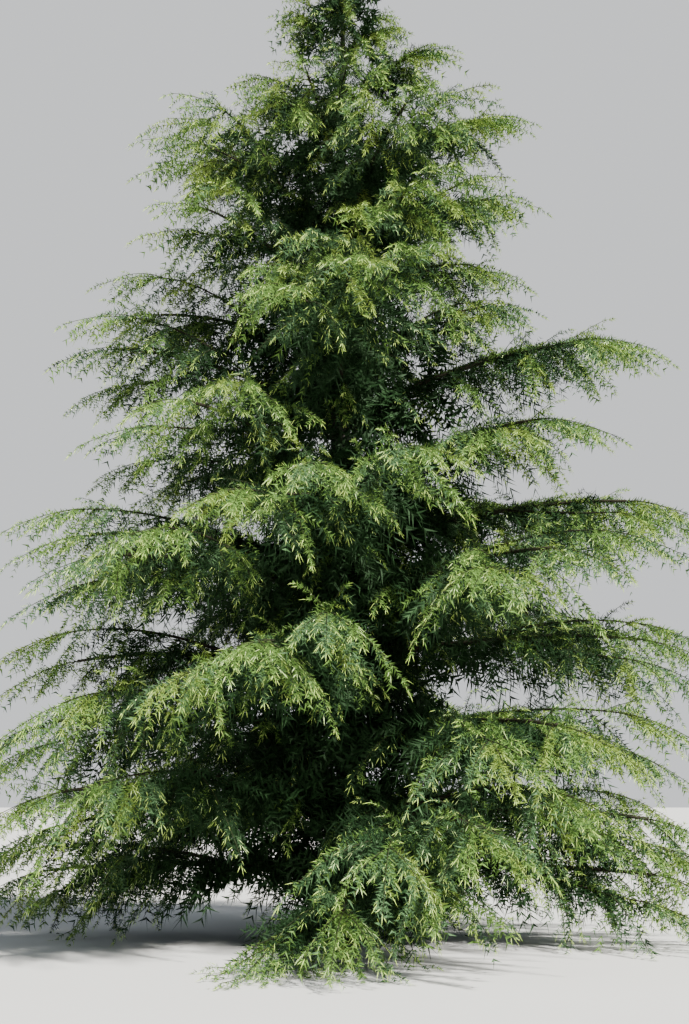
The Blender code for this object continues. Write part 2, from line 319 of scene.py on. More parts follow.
TIERS = (
    Tier(0.72, 4, -97, 4.45, 4.45, 0.08, 0.32),
    Tier(1.50, 5, -75, 4.50, 4.50, 0.15, 0.42),
    Tier(2.25, 4, 30, 4.50, 4.50, 0.25, 0.48),
    Tier(3.00, 4, -12, 4.40, 4.45, 0.35, 0.46),
    Tier(3.70, 4, 38, 4.20, 4.35, 0.45, 0.42),
    Tier(4.35, 4, -8, 4.00, 4.25, 0.55, 0.35),
    Tier(5.05, 4, 50, 3.75, 3.55, 0.65, 0.32),
    Tier(6.02, 4, 180, 3.45, 3.80, 0.98, 0.24),
    Tier(6.62, 4, 172, 3.15, 2.35, 0.88, 0.20),
    Tier(7.36, 4, 214, 2.65, 2.65, 1.00, 0.15),
    Tier(8.16, 4, 20, 2.45, 2.75, 1.02, 0.10),
    Tier(8.90, 4, 168, 2.50, 2.40, 0.85, 0.08),
    Tier(9.86, 2, 152, 1.40, 1.50, 0.58, 0.05),
    Tier(10.70, 2, 20, 0.85, 0.85, 0.50, 0.02),
    Tier(11.42, 2, 110, 0.50, 0.50, 0.45, 0.02),
)
# Tiers that have bare boughs, and the share of the reach that is bare
BOUGH_TIERS = 1
BOUGH_END = 0.24
# Masses above this height also dress the leader
LEADER_FROM = 8.5
BOUGH_RADIUS = 0.046
TWIG_RADIUS = 0.009
OLD_TWIG_RADIUS = 0.0085
FULL_REACH = 4.5
TURN_JITTER = 6.0
REACH_JITTER = 0.04
SWEEP_JITTER = 0.06
# Share of the reach, side, turn in degrees and share of the length left
FORKS = ((0.30, 1, 30, 0.98), (0.44, -1, 34, 0.98))
FORK_LIFT = 0.12
FAN_LENGTH = 1.36
# Gaps between twigs or sprays, in metres
BRANCH_GAP = 0.37
HANGING_GAP = 0.30
TOP_GAP = 0.15
SHOOT_GAP = 0.125
RIDGE_GAP = 0.45
# Side branches: their steps, the radius of the tip and the lowest point
BRANCH_STEP = 0.14
BRANCH_TIP = 0.003
BRANCH_LOWEST = 0.05
# New growth: needles in a metre, their length and width, and the shoot's radius
NEW_NEEDLES = 32
NEW_NEEDLE = 0.017
NEW_BLADE = 0.0055
NEW_SHOOT = 0.0034
# Lowest point of a needle
LOWEST_POINT = 0.004
# Deepest relief of the trunk's bark
BARK_DEPTH = 0.011


def trunk_axis(z: float) -> Array:
    """Centre of the trunk.

    Args:
        z: Height in metres.

    Returns:
        The point on the trunk's axis.
    """
    share = z / HEIGHT
    nod = max(0.0, z - NOD_START) / (HEIGHT - NOD_START)
    x = -LEAN * z - BOW * math.sin(math.pi * share) ** 2 + NOD * nod * nod
    y = 0.05 * math.sin(2.2 * math.pi * share) * share
    return np.array((x, y, z))


def trunk_radius(z: float) -> float:
    """Radius of the trunk at a height, root flare included."""
    share = max(0.0, 1.0 - z / HEIGHT)
    return TIP_RADIUS + (STEM_RADIUS - TIP_RADIUS) * share**TAPER_POWER + FLARE * math.exp(-z / FLARE_HEIGHT)


def unit(vector: Array) -> Array:
    """Scales a vector to length one."""
    return vector / math.sqrt(float(vector @ vector))


def turned(vector: Array, degrees: float) -> Array:
    """Turns a vector about the vertical.

    Args:
        vector: The vector.
        degrees: Angle, anticlockwise from above.

    Returns:
        The turned vector.
    """
    angle = math.radians(degrees)
    c, s = math.cos(angle), math.sin(angle)
    return np.array((vector[0] * c - vector[1] * s, vector[0] * s + vector[1] * c, vector[2]))


@dataclass
class Line:
    """A tapering run of points that twigs and shoots grow on.

    Args:
        points: Points from root to tip.
        radii: Radius at each point.
    """

    points: Array
    radii: Array

    def length(self) -> float:
        """Measures the line in metres."""
        return float(np.linalg.norm(np.diff(self.points, axis=0), axis=1).sum())

    def at(self, share: float) -> tuple[Array, Array, float]:
        """Finds a place on the line.

        Args:
            share: Share of the way from root to tip.

        Returns:
            The point there, the direction and the radius.
        """
        place = min(max(share, 0.0), 0.9999) * (len(self.points) - 1)
        k = int(place)
        rest = place - k
        point = self.points[k] * (1 - rest) + self.points[k + 1] * rest
        radius = self.radii[k] * (1 - rest) + self.radii[k + 1] * rest
        return point, unit(self.points[k + 1] - self.points[k]), float(radius)


@dataclass
class Limb:
    """One limb of the tree, from the trunk to the tip of its foliage.

    Args:
        name: Tier number and letter.
        tier: The ring it belongs to.
        angle: Angle from +X in radians.
        height: Height on the trunk.
        reach: Level distance from the trunk's axis to the tip.
        sweep: How far its tip swings sideways.
        radius: Radius at its root.
        seed: Seed of its growth.
    """

    name: str
    tier: Tier
    angle: float
    height: float
    reach: float
    sweep: float
    radius: float
    seed: int

    def point(self, t: float) -> Array:
        """Finds a point of the limb.

        Args:
            t: Share of the reach.

        Returns:
            The point on its centre line.
        """
        out = np.array((math.cos(self.angle), math.sin(self.angle), 0.0))
        side = np.array((-out[1], out[0], 0.0))
        level = self.tier.rise * (1 - (1 - t) ** 2) - self.tier.droop * max(t, 0.0) ** 3.5
        return trunk_axis(self.height) + out * (self.reach * t) + side * (self.sweep * t * t) + UP * level

    def radius_at(self, t: float) -> float:
        """Finds the limb's radius at a share of its reach."""
        return TWIG_RADIUS + (self.radius - TWIG_RADIUS) * (1 - t) ** 0.9

    @property
    def start(self) -> float:
        """Share of the reach where the foliage mass begins."""
        return BOUGH_END if self.tier in TIERS[:BOUGH_TIERS] else 0.0

    @property
    def fan(self) -> float:
        """Length of the limb's sprays."""
        return FAN_LENGTH * (self.reach / FULL_REACH) ** 0.62

    @property
    def stop(self) -> float:
        """Share of the reach where the stem runs out into its last spray."""
        return 1 - 0.80 * self.fan / self.reach

    def line(self, start: float, stop: float, steps: int) -> Line:
        """Draws part of the limb.

        Args:
            start: Share of the reach where it begins.
            stop: Share of the reach where it ends.
            steps: Straight lengths.

        Returns:
            The line.
        """
        shares = [start + (stop - start) * k / steps for k in range(steps + 1)]
        return Line(
            np.array([self.point(t) for t in shares]),
            np.array([self.radius_at(t) for t in shares]),
        )

    def fork(self, rule: tuple[float, int, float, float], rng: Random) -> Line:
        """Draws a fork that leaves the stem, swings to one side and follows it outwards.

        Args:
            rule: Share of the reach, side, turn in degrees and share of the length left.
            rng: The limb's own chance.

        Returns:
            The fork's line.
        """
        t, side, turn, share = rule
        root = self.point(t)
        ahead = self.point(t + 0.03) - self.point(t - 0.03)
        along = unit(turned(np.array((ahead[0], ahead[1], 0.0)), side * (turn + rng.uniform(-4, 4))))
        length = self.reach * (self.stop - t) * (share + rng.uniform(-0.06, 0.06))
        lift = FORK_LIFT * side * (0.4 + 0.6 * self.reach / FULL_REACH) + rng.uniform(-0.05, 0.05)
        curl = np.array((-along[1], along[0], 0.0)) * (-side * 0.10 * length)
        level = self.point(t)[2]
        points = []
        for k in range(9):
            s = k / 8
            climb = self.point(t + (self.stop - t) * s)[2] - level + 2 * lift * math.sin(0.5 * math.pi * s)
            points.append(root + along * (length * s) + curl * (s * s) + UP * climb)
        base = 0.72 * self.radius_at(t)
        return Line(np.array(points), np.linspace(base, TWIG_RADIUS, 9))


def all_limbs() -> list[Limb]:
    """Lays out the limbs by the tree's rule.

    Returns:
        Every limb, tier by tier.
    """
    limbs = []
    for number, tier in enumerate(TIERS, 1):
        for k in range(tier.count):
            seed = SEED + 100 * number + k
            rng = Random(seed)
            turn = tier.turn + 360 * k / tier.count + rng.uniform(-TURN_JITTER, TURN_JITTER)
            angle = math.radians(turn)
            height = tier.height + rng.uniform(-0.16, 0.16) * (0.4 + 0.6 * tier.left / FULL_REACH)
            share = 0.5 + 0.5 * math.cos(angle)
            level = tier.left + (tier.right - tier.left) * share
            reach = level * (1 + rng.uniform(-REACH_JITTER, REACH_JITTER))
            sweep = reach * rng.uniform(-SWEEP_JITTER, SWEEP_JITTER)
            radius = min(BOUGH_RADIUS * (reach / FULL_REACH) ** 0.8, 0.42 * trunk_radius(height))
            radius = max(radius, 1.05 * TWIG_RADIUS)
            limbs.append(Limb(f"{number:02d}{'abcdef'[k]}", tier, angle, height, reach, sweep, radius, seed))
    return limbs


# ---- sprays


@dataclass
class Spray:
    """A pattern of one needled branchlet along +X with shoots on both sides, its flat side up.

    Args:
        length: Length of its axis in metres.
        shoots: Side shoots.
        fresh: Share of the side shoots with a pale new end.
        tip: Length of the pale new end of the axis, or 0.
        seed: Seed of its growth.
        needle: Length of the longest needles.
        blade: Width of a needle at its foot.
        tufts: Tufts in a metre.
        spread: Times the angle between a needle and its shoot.
    """

    length: float
    shoots: int
    fresh: float
    tip: float
    seed: int
    needle: float = 0.050
    blade: float = 0.0125
    tufts: float = 31.0
    spread: float = 1.0
    points: Array = field(init=False)
    faces: Array = field(init=False)
    pale: Array = field(init=False)

    def __post_init__(self) -> None:
        """Grows the pattern once, so that it can be copied many times."""
        self._rng = Random(self.seed)
        self._points: list[Array] = []
        self._pale: list[bool] = []
        sag = self._rng.uniform(0.08, 0.18)
        end = np.array((self.length, 0.0, -sag * self.length))
        self.clothe(np.zeros(3), end, self.length - self.tip, self.tip, 1.0)
        side = 1 if self._rng.random() < 0.5 else -1
        for k in range(self.shoots):
            s = 0.08 + 0.74 * (k + self._rng.uniform(0.0, 0.5)) / self.shoots
            size = (0.46 - 0.20 * s) * self.length * self._rng.uniform(0.8, 1.2)
            root = np.array((self.length * s, 0.0, -sag * self.length * s * s))
            turn = side * self._rng.uniform(0.45, 0.72)
            fall = self._rng.uniform(0.10, 0.42)
            along = np.array((math.cos(turn), math.sin(turn), -fall))
            new = min(self.tip or 0.08, 0.6 * size) if self._rng.random() < self.fresh else 0.0
            self.clothe(root, root + along * size, size - new, new, 0.82)
            side = -side
        self.points = np.array(self._points)
        self.faces = np.arange(len(self._points), dtype=np.int32).reshape(-1, 3)
        self.pale = np.array(self._pale)

    def clothe(self, root: Array, end: Array, old: float, new: float, size: float) -> None:
        """Sets needles round one shoot.

        Args:
            root: Where the shoot starts.
            end: Where it ends.
            old: Length with tufts of old needles.
            new: Length of its pale new end, or 0.
            size: Times the length of its needles.
        """
        rng = self._rng
        along = unit(end - root)
        share = np.linalg.norm(end - root) / (old + new)
        old, new = old * share, new * share
        across = unit(np.cross(along, UP))
        over = np.cross(across, along)

        def needle(x: float, reach: float, width: float, lean: float, roll: float, pale: bool) -> None:
            """Sets one needle.

            Args:
                x: Where it stands along the shoot.
                reach: Its length.
                width: Its width at the foot.
                lean: Angle between it and the shoot.
                roll: Angle round the shoot.
                pale: Whether it is new.
            """
            out = across * math.cos(roll) + over * math.sin(roll)
            foot = root + along * x
            point = foot + (along * math.cos(lean) + out * math.sin(lean)) * reach
            skew = out * (0.12 * width)
            half = along * (0.5 * width)
            self._points.extend((foot - half - skew, foot + half + skew, point))
            self._pale.append(pale)

        tufts = max(2, int(old * self.tufts))
        for k in range(tufts):
            x = old * (k + rng.uniform(0.2, 0.8)) / tufts
            roll = rng.uniform(0, FULL_TURN)
            for j in range(3):
                reach = rng.uniform(0.72, 1.0) * self.needle * size
                lean = rng.uniform(0.70, 1.25) * self.spread
                needle(x, reach, self.blade, lean, roll + THIRD_TURN * j + rng.uniform(-0.5, 0.5), False)
        if new:
            roll = rng.uniform(0, FULL_TURN)
            count = int(new * NEW_NEEDLES)
            for k in range(count):
                roll += SPIRAL_STEP
                s = (k + 0.5) / count
                lean = rng.uniform(0.35, 0.65)
                needle(old + new * 0.85 * s, NEW_NEEDLE * (1 - 0.3 * s), NEW_BLADE, lean, roll, True)
            foot = root + along * (old - 0.01)
            waist = root + along * (old + 0.25 * new)
            for side in (across * NEW_SHOOT, over * NEW_SHOOT):
                first, second = waist + side, waist - side
                self._points.extend((foot, second, first, first, second, root + along * (old + new)))
                self._pale.extend((True, True))


class Habit(IntEnum):
    """Kinds of spray."""

    FRESH = 0
    MIXED = 1
    OLD = 2
    SHADE = 3
    CORE = 4
    SLEEVE = 5
    MAT = 6


def spray_patterns() -> dict[Habit, list[Spray]]:
    """Grows the patterns of sprays.

    Returns:
        Patterns of each habit, from short to long.
    """
    return {
        Habit.FRESH: [
            Spray(0.13, 0, 1.0, 0.08, 11), Spray(0.17, 2, 1.0, 0.09, 12), Spray(0.21, 3, 0.9, 0.09, 13),
            Spray(0.26, 4, 0.8, 0.10, 14), Spray(0.32, 5, 0.8, 0.10, 15), Spray(0.39, 6, 0.8, 0.11, 16)],
        Habit.MIXED: [
            Spray(0.13, 0, 0.0, 0.06, 21), Spray(0.18, 1, 0.3, 0.07, 22), Spray(0.24, 2, 0.3, 0.07, 23),
            Spray(0.30, 4, 0.3, 0.08, 24), Spray(0.38, 5, 0.3, 0.08, 25)],
        Habit.OLD: [
            Spray(0.13, 0, 0.0, 0.0, 31), Spray(0.19, 1, 0.0, 0.0, 32), Spray(0.26, 3, 0.0, 0.0, 33),
            Spray(0.34, 4, 0.0, 0.0, 34)],
        Habit.SHADE: [
            Spray(0.36, 4, 0.0, 0.0, 61, 0.100, 0.022, 18.0, 0.85),
            Spray(0.50, 6, 0.0, 0.0, 62, 0.105, 0.024, 18.0, 0.85)],
        Habit.CORE: [
            Spray(0.60, 6, 0.0, 0.0, 42, 0.165, 0.055, 12.0),
            Spray(0.80, 8, 0.0, 0.0, 43, 0.175, 0.058, 12.0)],
        Habit.MAT: [
            Spray(0.30, 0, 0.0, 0.0, 71, 0.090, 0.020, 24.0, 0.85),
            Spray(0.45, 0, 0.0, 0.0, 72, 0.115, 0.027, 22.0, 0.85),
            Spray(0.60, 0, 0.0, 0.0, 73, 0.135, 0.034, 18.0, 0.85)],
        Habit.SLEEVE: [
            Spray(0.26, 0, 0.0, 0.0, 51, 0.072, 0.0185, 25.0, 0.95),
            Spray(0.36, 0, 0.0, 0.0, 52, 0.072, 0.0185, 25.0, 0.95)],
    }


@dataclass
class Foliage:
    """Collects the sprays and twigs of one mass and turns them into arrays.

    Args:
        patterns: Patterns of sprays.
        rng: The limb's own chance.
    """

    patterns: dict[Habit, list[Spray]]
    rng: Random
    placed: dict[tuple[Habit, int], list[tuple]] = field(default_factory=dict)
    twigs: list[Line] = field(default_factory=list)

    def spray(self, habit: Habit, root: Array, along: Array, length: float, tones: tuple[int, int],
              roll: float = 0.35, bend: float = 0.9) -> None:
        """Places a spray.

        Args:
            habit: Its kind.
            root: Where it stands.
            along: Its direction.
            length: Wanted length.
            tones: Tints of its old and new needles.
            roll: Most that it rolls from lying flat, in radians.
            bend: How fast it droops, in metres for a metre squared.
        """
        rng = self.rng
        options = self.patterns[habit]
        best = min(range(len(options)), key=lambda k: abs(options[k].length - length) + 0.03 * rng.random())
        scale = min(max(length / options[best].length, 0.75), 1.3)
        row = (*root, *along, scale, rng.uniform(-roll, roll), bend, *tones, rng.choice((-1, 1)))
        self.placed.setdefault((habit, best), []).append(row)

    def needle_arrays(self) -> Arrays:
        """Copies every pattern to its places.

        Returns:
            Points, triangles and the material slot of each triangle.
        """
        parts = []
        first = 0
        for (habit, number), rows in self.placed.items():
            pattern = self.patterns[habit][number]
            data = np.array(rows)
            along = data[:, 3:6] / np.linalg.norm(data[:, 3:6], axis=1, keepdims=True)
            side = np.cross(np.broadcast_to(UP, along.shape), along)
            side /= np.maximum(np.linalg.norm(side, axis=1, keepdims=True), 1e-6)
            over = np.cross(along, side)
            c, s = np.cos(data[:, 7:8]), np.sin(data[:, 7:8])
            y_axis = (side * c + over * s) * data[:, 11:12]
            z_axis = over * c - side * s
            p = pattern.points[None] * data[:, 6][:, None, None]
            reach = p[:, :, 0:1]
            world = (
                data[:, None, 0:3]
                + along[:, None, :] * reach
                + y_axis[:, None, :] * p[:, :, 1:2]
                + z_axis[:, None, :] * p[:, :, 2:3]
            )
            world[:, :, 2] -= data[:, 8][:, None] * reach[:, :, 0] ** 2
            np.maximum(world[:, :, 2], LOWEST_POINT, out=world[:, :, 2])
            count = len(rows)
            starts = first + np.arange(count) * len(pattern.points)
            faces = pattern.faces[None, :, :] + starts[:, None, None]
            slots = np.where(pattern.pale[None, :], data[:, 10:11], data[:, 9:10])
            parts.append((world.reshape(-1, 3), faces.reshape(-1, 3), slots.reshape(-1).astype(np.int32)))
            first += count * len(pattern.points)
        return tuple(np.concatenate(arrays) for arrays in zip(*parts))

    def twig_arrays(self) -> Arrays:
        """Skins every twig with three sides.

        Returns:
            Points, triangles and the material slot of each triangle, by the thickness of its twig.
        """
        parts = []
        first = 0
        for line in self.twigs:
            points, faces = tube(line.points, line.radii, 3)
            slot = 0 if line.radii[0] > OLD_TWIG_RADIUS else 1
            parts.append((points, faces + first, np.full(len(faces), slot, np.int32)))
            first += len(points)
        return tuple(np.concatenate(arrays) for arrays in zip(*parts))


def circles(centres: Array, sides: int) -> Array:
    """Sets a circle of radius one square across a line at each of its points.

    Args:
        centres: Points from root to tip.
        sides: Points of a circle.

    Returns:
        Directions from each centre to the points of its circle.
    """
    along = np.gradient(centres, axis=0)
    along /= np.maximum(np.linalg.norm(along, axis=1, keepdims=True), 1e-9)
    reference = np.where(np.abs(along[:, 2:3]) > 0.94, np.array((1.0, 0.0, 0.0)), UP)
    across = np.cross(along, reference)
    across /= np.maximum(np.linalg.norm(across, axis=1, keepdims=True), 1e-9)
    over = np.cross(across, along)
    angles = (2 * math.pi * np.arange(sides) / sides)[None, :, None]
    return np.cos(angles) * across[:, None, :] + np.sin(angles) * over[:, None, :]


def tube(centres: Array, radii: Array, sides: int) -> tuple[Array, Array]:
    """Skins a line with a tapering tube.

    Args:
        centres: Points from root to tip.
        radii: Radius at each point.
        sides: Sides of the tube.

    Returns:
        Points and triangles, closed at both ends.
    """
    points = (centres[:, None, :] + circles(centres, sides) * radii[:, None, None]).reshape(-1, 3)
    rows = np.arange(len(centres) - 1)[:, None] * sides
    k = np.arange(sides)[None, :]
    after = (k + 1) % sides
    a, b = rows + k, rows + after
    faces = np.concatenate((
        np.stack((a, b, b + sides), axis=-1).reshape(-1, 3),
        np.stack((a, b + sides, a + sides), axis=-1).reshape(-1, 3),
    ))
    last = (len(centres) - 1) * sides
    ends = [(0, j + 1, j) for j in range(1, sides - 1)]
    ends += [(last, last + j, last + j + 1) for j in range(1, sides - 1)]
    return points, np.concatenate((faces, np.array(ends, dtype=np.int64)))


def mesh_piece(name: str, arrays: Arrays, materials: list[Material], smooth: bool) -> Object:
    """Makes one joined mesh from arrays.

    Args:
        name: Name of the piece.
        arrays: Points in metres, triangles and the material slot of each triangle.
        materials: Its materials.
        smooth: Whether it shades smoothly.

    Returns:
        The piece, at the origin.
    """
    points, faces, slots = arrays
    mesh = bpy.data.meshes.new(name)
    mesh.vertices.add(len(points))
    mesh.vertices.foreach_set("co", np.ascontiguousarray(points, np.float32).ravel())
    mesh.loops.add(faces.size)
    mesh.loops.foreach_set("vertex_index", np.ascontiguousarray(faces, np.int32).ravel())
    mesh.polygons.add(len(faces))
    mesh.polygons.foreach_set("loop_start", np.arange(0, faces.size, 3, dtype=np.int32))
    for material in materials:
        mesh.materials.append(material)
    mesh.polygons.foreach_set("material_index", slots)
    mesh.polygons.foreach_set("use_smooth", np.full(len(faces), smooth))
    mesh.update(calc_edges=True)
    return add_object(name, mesh)


def close_mesh(name: str, bm: bmesh.types.BMesh, material: Material) -> Object:
    """Turns an edited mesh into an object.

    Args:
        name: Name of the object.
        bm: The edited mesh, which is freed.
        material: Its material.

    Returns:
        The object.
    """
    mesh = bpy.data.meshes.new(name)
    bm.to_mesh(mesh)
    bm.free()
    mesh.materials.append(material)
    return add_object(name, mesh)


# ---- the builders


@dataclass
class MassBuilder:
    """Grows one foliage mass in the reach of its solid.

    Args:
        limb: The limb it grows on.
        patterns: Patterns of sprays.
        needles: Needle materials in the order of Tone.
        twigs: Materials of its old and young twigs.
    """

    limb: Limb
    patterns: dict[Habit, list[Spray]]
    needles: list[Material]
    twigs: list[Material]

    def __post_init__(self) -> None:
        """Starts the limb's own chance and an empty mass."""
        self.rng = Random(self.limb.seed + 9000)
        self.foliage = Foliage(self.patterns, self.rng)

    def tone(self, outer: float) -> int:
        """Deals a tint to a spray, partly at random: darker further in and bluer low in the crown, painted
        shade, and lighter further out and yellower high up, painted sunlight.

        Args:
            outer: How far out the spray stands, from 0 to 1.

        Returns:
            The tint of its old needles.
        """
        height = self.limb.height / HEIGHT
        # Painted highlight and shade: sprays further out get lighter tints, sprays further in darker ones
        luck = self.rng.random() + 0.35 * (outer - 0.5)
        # Painted sunlight: higher masses get fewer blue tints and more gold ones
        steps = ((0.20, Tone.DEEP_AND_SHADE), (0.58 - 0.40 * height, Tone.BLUE), (1.02 - 0.20 * height, Tone.MID))
        return next((tone for limit, tone in steps if luck < limit), Tone.GOLD)

    def dress_branch(self, line: Line, outer: float) -> None:
        """Sets sprays along a side branch: on its flanks, ridge and tip, and fuller ones within, the coarse
        ones beneath it in the deep tint as painted shade.

        Args:
            line: The branch.
            outer: How far out the branch stands, from 0 to 1.
        """
        rng, foliage = self.rng, self.foliage
        length = line.length()
        tone = self.tone(outer)
        count = max(3, int(length / SHOOT_GAP))
        side = 1 if rng.random() < 0.5 else -1
        for k in range(count):
            s = 0.12 + 0.84 * (k + rng.uniform(-0.2, 0.2)) / count
            point, ahead, _ = line.at(s)
            size = (0.33 - 0.14 * s) * rng.uniform(0.8, 1.15) * min(1.0, 0.5 + 0.6 * length)
            hangs = rng.random() < 0.32
            out = turned(ahead, side * rng.uniform(32, 50))
            out[2] = ahead[2] * 0.7 - (rng.uniform(0.5, 1.2) if hangs else rng.uniform(-0.05, 0.30))
            shade = tone if rng.random() < 0.65 else self.tone(outer)
            new = Tone.SILVER if rng.random() < 0.3 else Tone.TIP
            luck = rng.random() + 0.6 * (outer * (0.4 + 0.6 * s) - 0.5) - (0.5 if hangs else 0.0)
            habit = Habit.FRESH if luck > 0.50 else Habit.MIXED if luck > 0.14 else Habit.OLD
            foliage.spray(habit, point, unit(out), size, (shade, new))
            side = -side
        for _ in range(int(length / RIDGE_GAP)):
            s = rng.uniform(0.1, 0.95)
            point, ahead, _ = line.at(s)
            out = turned(ahead, rng.uniform(-35, 35))
            out[2] = ahead[2] + rng.uniform(0.2, 0.8)
            foliage.spray(Habit.FRESH, point, unit(out), rng.uniform(0.11, 0.17), (tone, Tone.TIP), ANY_ROLL)
        slim = outer > 0.7
        for _ in range(int(3.2 * length + rng.random())):
            s = rng.uniform(0.02, 0.75 if slim else 0.62)
            point, ahead, _ = line.at(s)
            out = turned(ahead, rng.uniform(-32, 32) if slim else rng.uniform(-75, 75))
            out[2] = ahead[2] - rng.uniform(0.0, 0.5) if slim else rng.uniform(-0.9, 0.1)
            size = 0.30 if slim else min(0.50, 0.22 + 0.30 * length * (1 - s))
            fine = slim or rng.random() < 0.30
            # Coarse sprays under the branch get the deep tint: painted shade beneath the fan
            shade = rng.choice((tone, Tone.BLUE, Tone.MID)) if fine else Tone.DEEP_AND_SHADE
            habit = Habit.SLEEVE if fine else Habit.MAT
            foliage.spray(habit, point - UP * 0.03, unit(out), size, (shade, shade), ANY_ROLL)
        for s in np.arange(0.02, 0.80, (0.34 - 0.016 * self.limb.height) / length):
            point, ahead, _ = line.at(s)
            foliage.spray(Habit.SLEEVE, point, ahead, min(0.36, length * (0.95 - s)), (tone, tone), ANY_ROLL)
        point, ahead, _ = line.at(0.92)
        foliage.spray(Habit.FRESH, point, ahead, rng.uniform(0.18, 0.28), (tone, Tone.TIP))

    def branch(self, root: Array, along: Array, length: float, droop: float, radius: float,
               outer: float) -> None:
        """Grows a drooping side branch and dresses it.

        Args:
            root: Where it leaves its line.
            along: Its direction there.
            length: Its length.
            droop: Share of its length that its tip falls.
            radius: Radius at its root.
            outer: How far out it stands, from 0 to 1.
        """
        steps = max(3, int(length / BRANCH_STEP))
        s = np.linspace(0, 1, steps + 1)[:, None]
        points = root + unit(along) * (length * s) - UP * (droop * length * s**1.8)
        points[:, 2] = np.maximum(points[:, 2], BRANCH_LOWEST)
        twig = Line(points, np.linspace(radius, BRANCH_TIP, steps + 1))
        self.foliage.twigs.append(twig)
        self.dress_branch(twig, outer)

    def dress_line(self, line: Line, first: float) -> None:
        """Grows side branches along the stem or a fork and clothes its upper side.

        Args:
            line: The stem or fork.
            first: Share of the line where they begin.
        """
        rng, foliage = self.rng, self.foliage
        fan = self.limb.fan
        length = line.length()
        gap = BRANCH_GAP * (fan / FAN_LENGTH) ** 0.5
        count = max(4, int(length * (1 - first) / gap))
        side = 1 if rng.random() < 0.5 else -1
        for k in range(count):
            s = 1 - (1 - first) * (k + 0.3 + rng.uniform(-0.2, 0.2)) / count
            point, ahead, radius = line.at(s)
            size = fan * (0.50 + 0.28 * math.sin(math.pi * s)) * rng.uniform(0.75, 1.1)
            along = turned(ahead, side * rng.uniform(42, 66))
            along[2] = 0.5 * ahead[2] + rng.uniform(-0.35, 0.30)
            droop = rng.uniform(0.32, 0.55) + 0.2 * s
            self.branch(point, along, size, droop, min(0.6 * radius, 0.008), s)
            side = -side
        end, ahead, _ = line.at(1.0)
        for turn in (-28, 0, 28):
            along = turned(ahead, turn + rng.uniform(-6, 6))
            size = fan * (0.80 if turn == 0 else 0.58) * rng.uniform(0.92, 1.02)
            self.branch(end, along, size, 0.32, 0.007, 1.0)
        for _ in range(int(length / HANGING_GAP)):
            s = rng.uniform(first, 1.0)
            point, ahead, radius = line.at(s)
            along = turned(ahead, rng.uniform(-60, 60))
            rises = rng.random() < 0.35
            along[2] = rng.uniform(0.3, 0.8) if rises else rng.uniform(-1.3, -0.7)
            size = fan * rng.uniform(0.28, 0.46)
            self.branch(point, along, size, 0.15, min(0.5 * radius, 0.006), s)
        for s in np.arange(first * 0.5, 1.0, TOP_GAP / length):
            point, ahead, radius = line.at(s)
            out = turned(ahead, rng.uniform(-60, 60))
            out[2] = ahead[2] + rng.uniform(0.1, 0.9)
            habit = Habit.FRESH if rng.random() < 0.2 + 0.4 * s else Habit.OLD
            size = rng.uniform(0.13, 0.24)
            foliage.spray(habit, point + UP * radius, unit(out), size, (self.tone(s), Tone.TIP), 0.8)
        for s in np.arange(first * 0.5, 0.98, (0.20 - 0.008 * self.limb.height) / length):
            point, ahead, radius = line.at(s)
            tones = (self.tone(s), Tone.TIP)
            aside = np.cross(ahead, UP) * rng.uniform(-0.8, 0.8)
            foliage.spray(Habit.SLEEVE, point + (UP + aside) * radius, ahead, 0.36, tones, ANY_ROLL)

    def dress_leader(self) -> None:
        """Sets short sprays on the leader above the limb, on the limb's side of it."""
        rng = self.rng
        limb = self.limb
        for z in np.arange(limb.height - 0.15, min(limb.height + 1.1, HEIGHT - 0.08), 0.055):
            out = turned(np.array((1.0, 0.0, 0.0)), math.degrees(limb.angle) + rng.uniform(-100, 100))
            out[2] = rng.uniform(0.1, 1.0)
            size = (0.08 + 0.24 * min(1.0, (HEIGHT - z) / 1.6)) * rng.uniform(0.7, 1.2)
            habit = rng.choice((Habit.FRESH, Habit.MIXED, Habit.OLD))
            self.foliage.spray(habit, trunk_axis(z), unit(out), size, (self.tone(0.6), Tone.TIP))

    def fill(self, lines: list[Line]) -> None:
        """Fills the space behind the fans and the core round the trunk with old sprays, all in the deep tint,
        which paints the shade inside the tree.

        Args:
            lines: The stem from the trunk outwards, and the forks.
        """
        limb, rng, foliage = self.limb, self.rng, self.foliage
        size = 0.45 + 0.55 * limb.reach / FULL_REACH
        # Every fill spray gets the deep tint: painted shade inside the tree
        dark = (Tone.DEEP_AND_SHADE, Tone.DEEP_AND_SHADE)
        low = math.exp(-0.5 * limb.height)
        mats = 20.0 + 8.0 * low
        for line in lines:
            for _ in range(int(3.0 * line.length())):
                s = rng.uniform(0.12, 0.95)
                point, ahead, _ = line.at(s)
                out = turned(ahead, rng.choice((-1, 1)) * rng.uniform(20, 110))
                out[2] = rng.uniform(-1.1, 0.5) * (1 - 0.4 * s)
                reach = rng.uniform(0.32, 0.55) * size * (1 - 0.25 * s)
                foliage.spray(Habit.SHADE, point, unit(out), reach, dark, ANY_ROLL, 0.3)
            for _ in range(int(mats * line.length())):
                s = rng.uniform(0.03, 0.85)
                point, ahead, _ = line.at(s)
                out = turned(ahead, rng.uniform(-100, 100))
                out[2] = rng.uniform(-min(1.4, 0.35 + 0.5 * limb.height), 0.2)
                habit = Habit.MAT if s < 0.58 else Habit.SLEEVE
                foliage.spray(habit, point, unit(out), rng.uniform(0.50, 0.80) * size, dark, ANY_ROLL, 0.3)
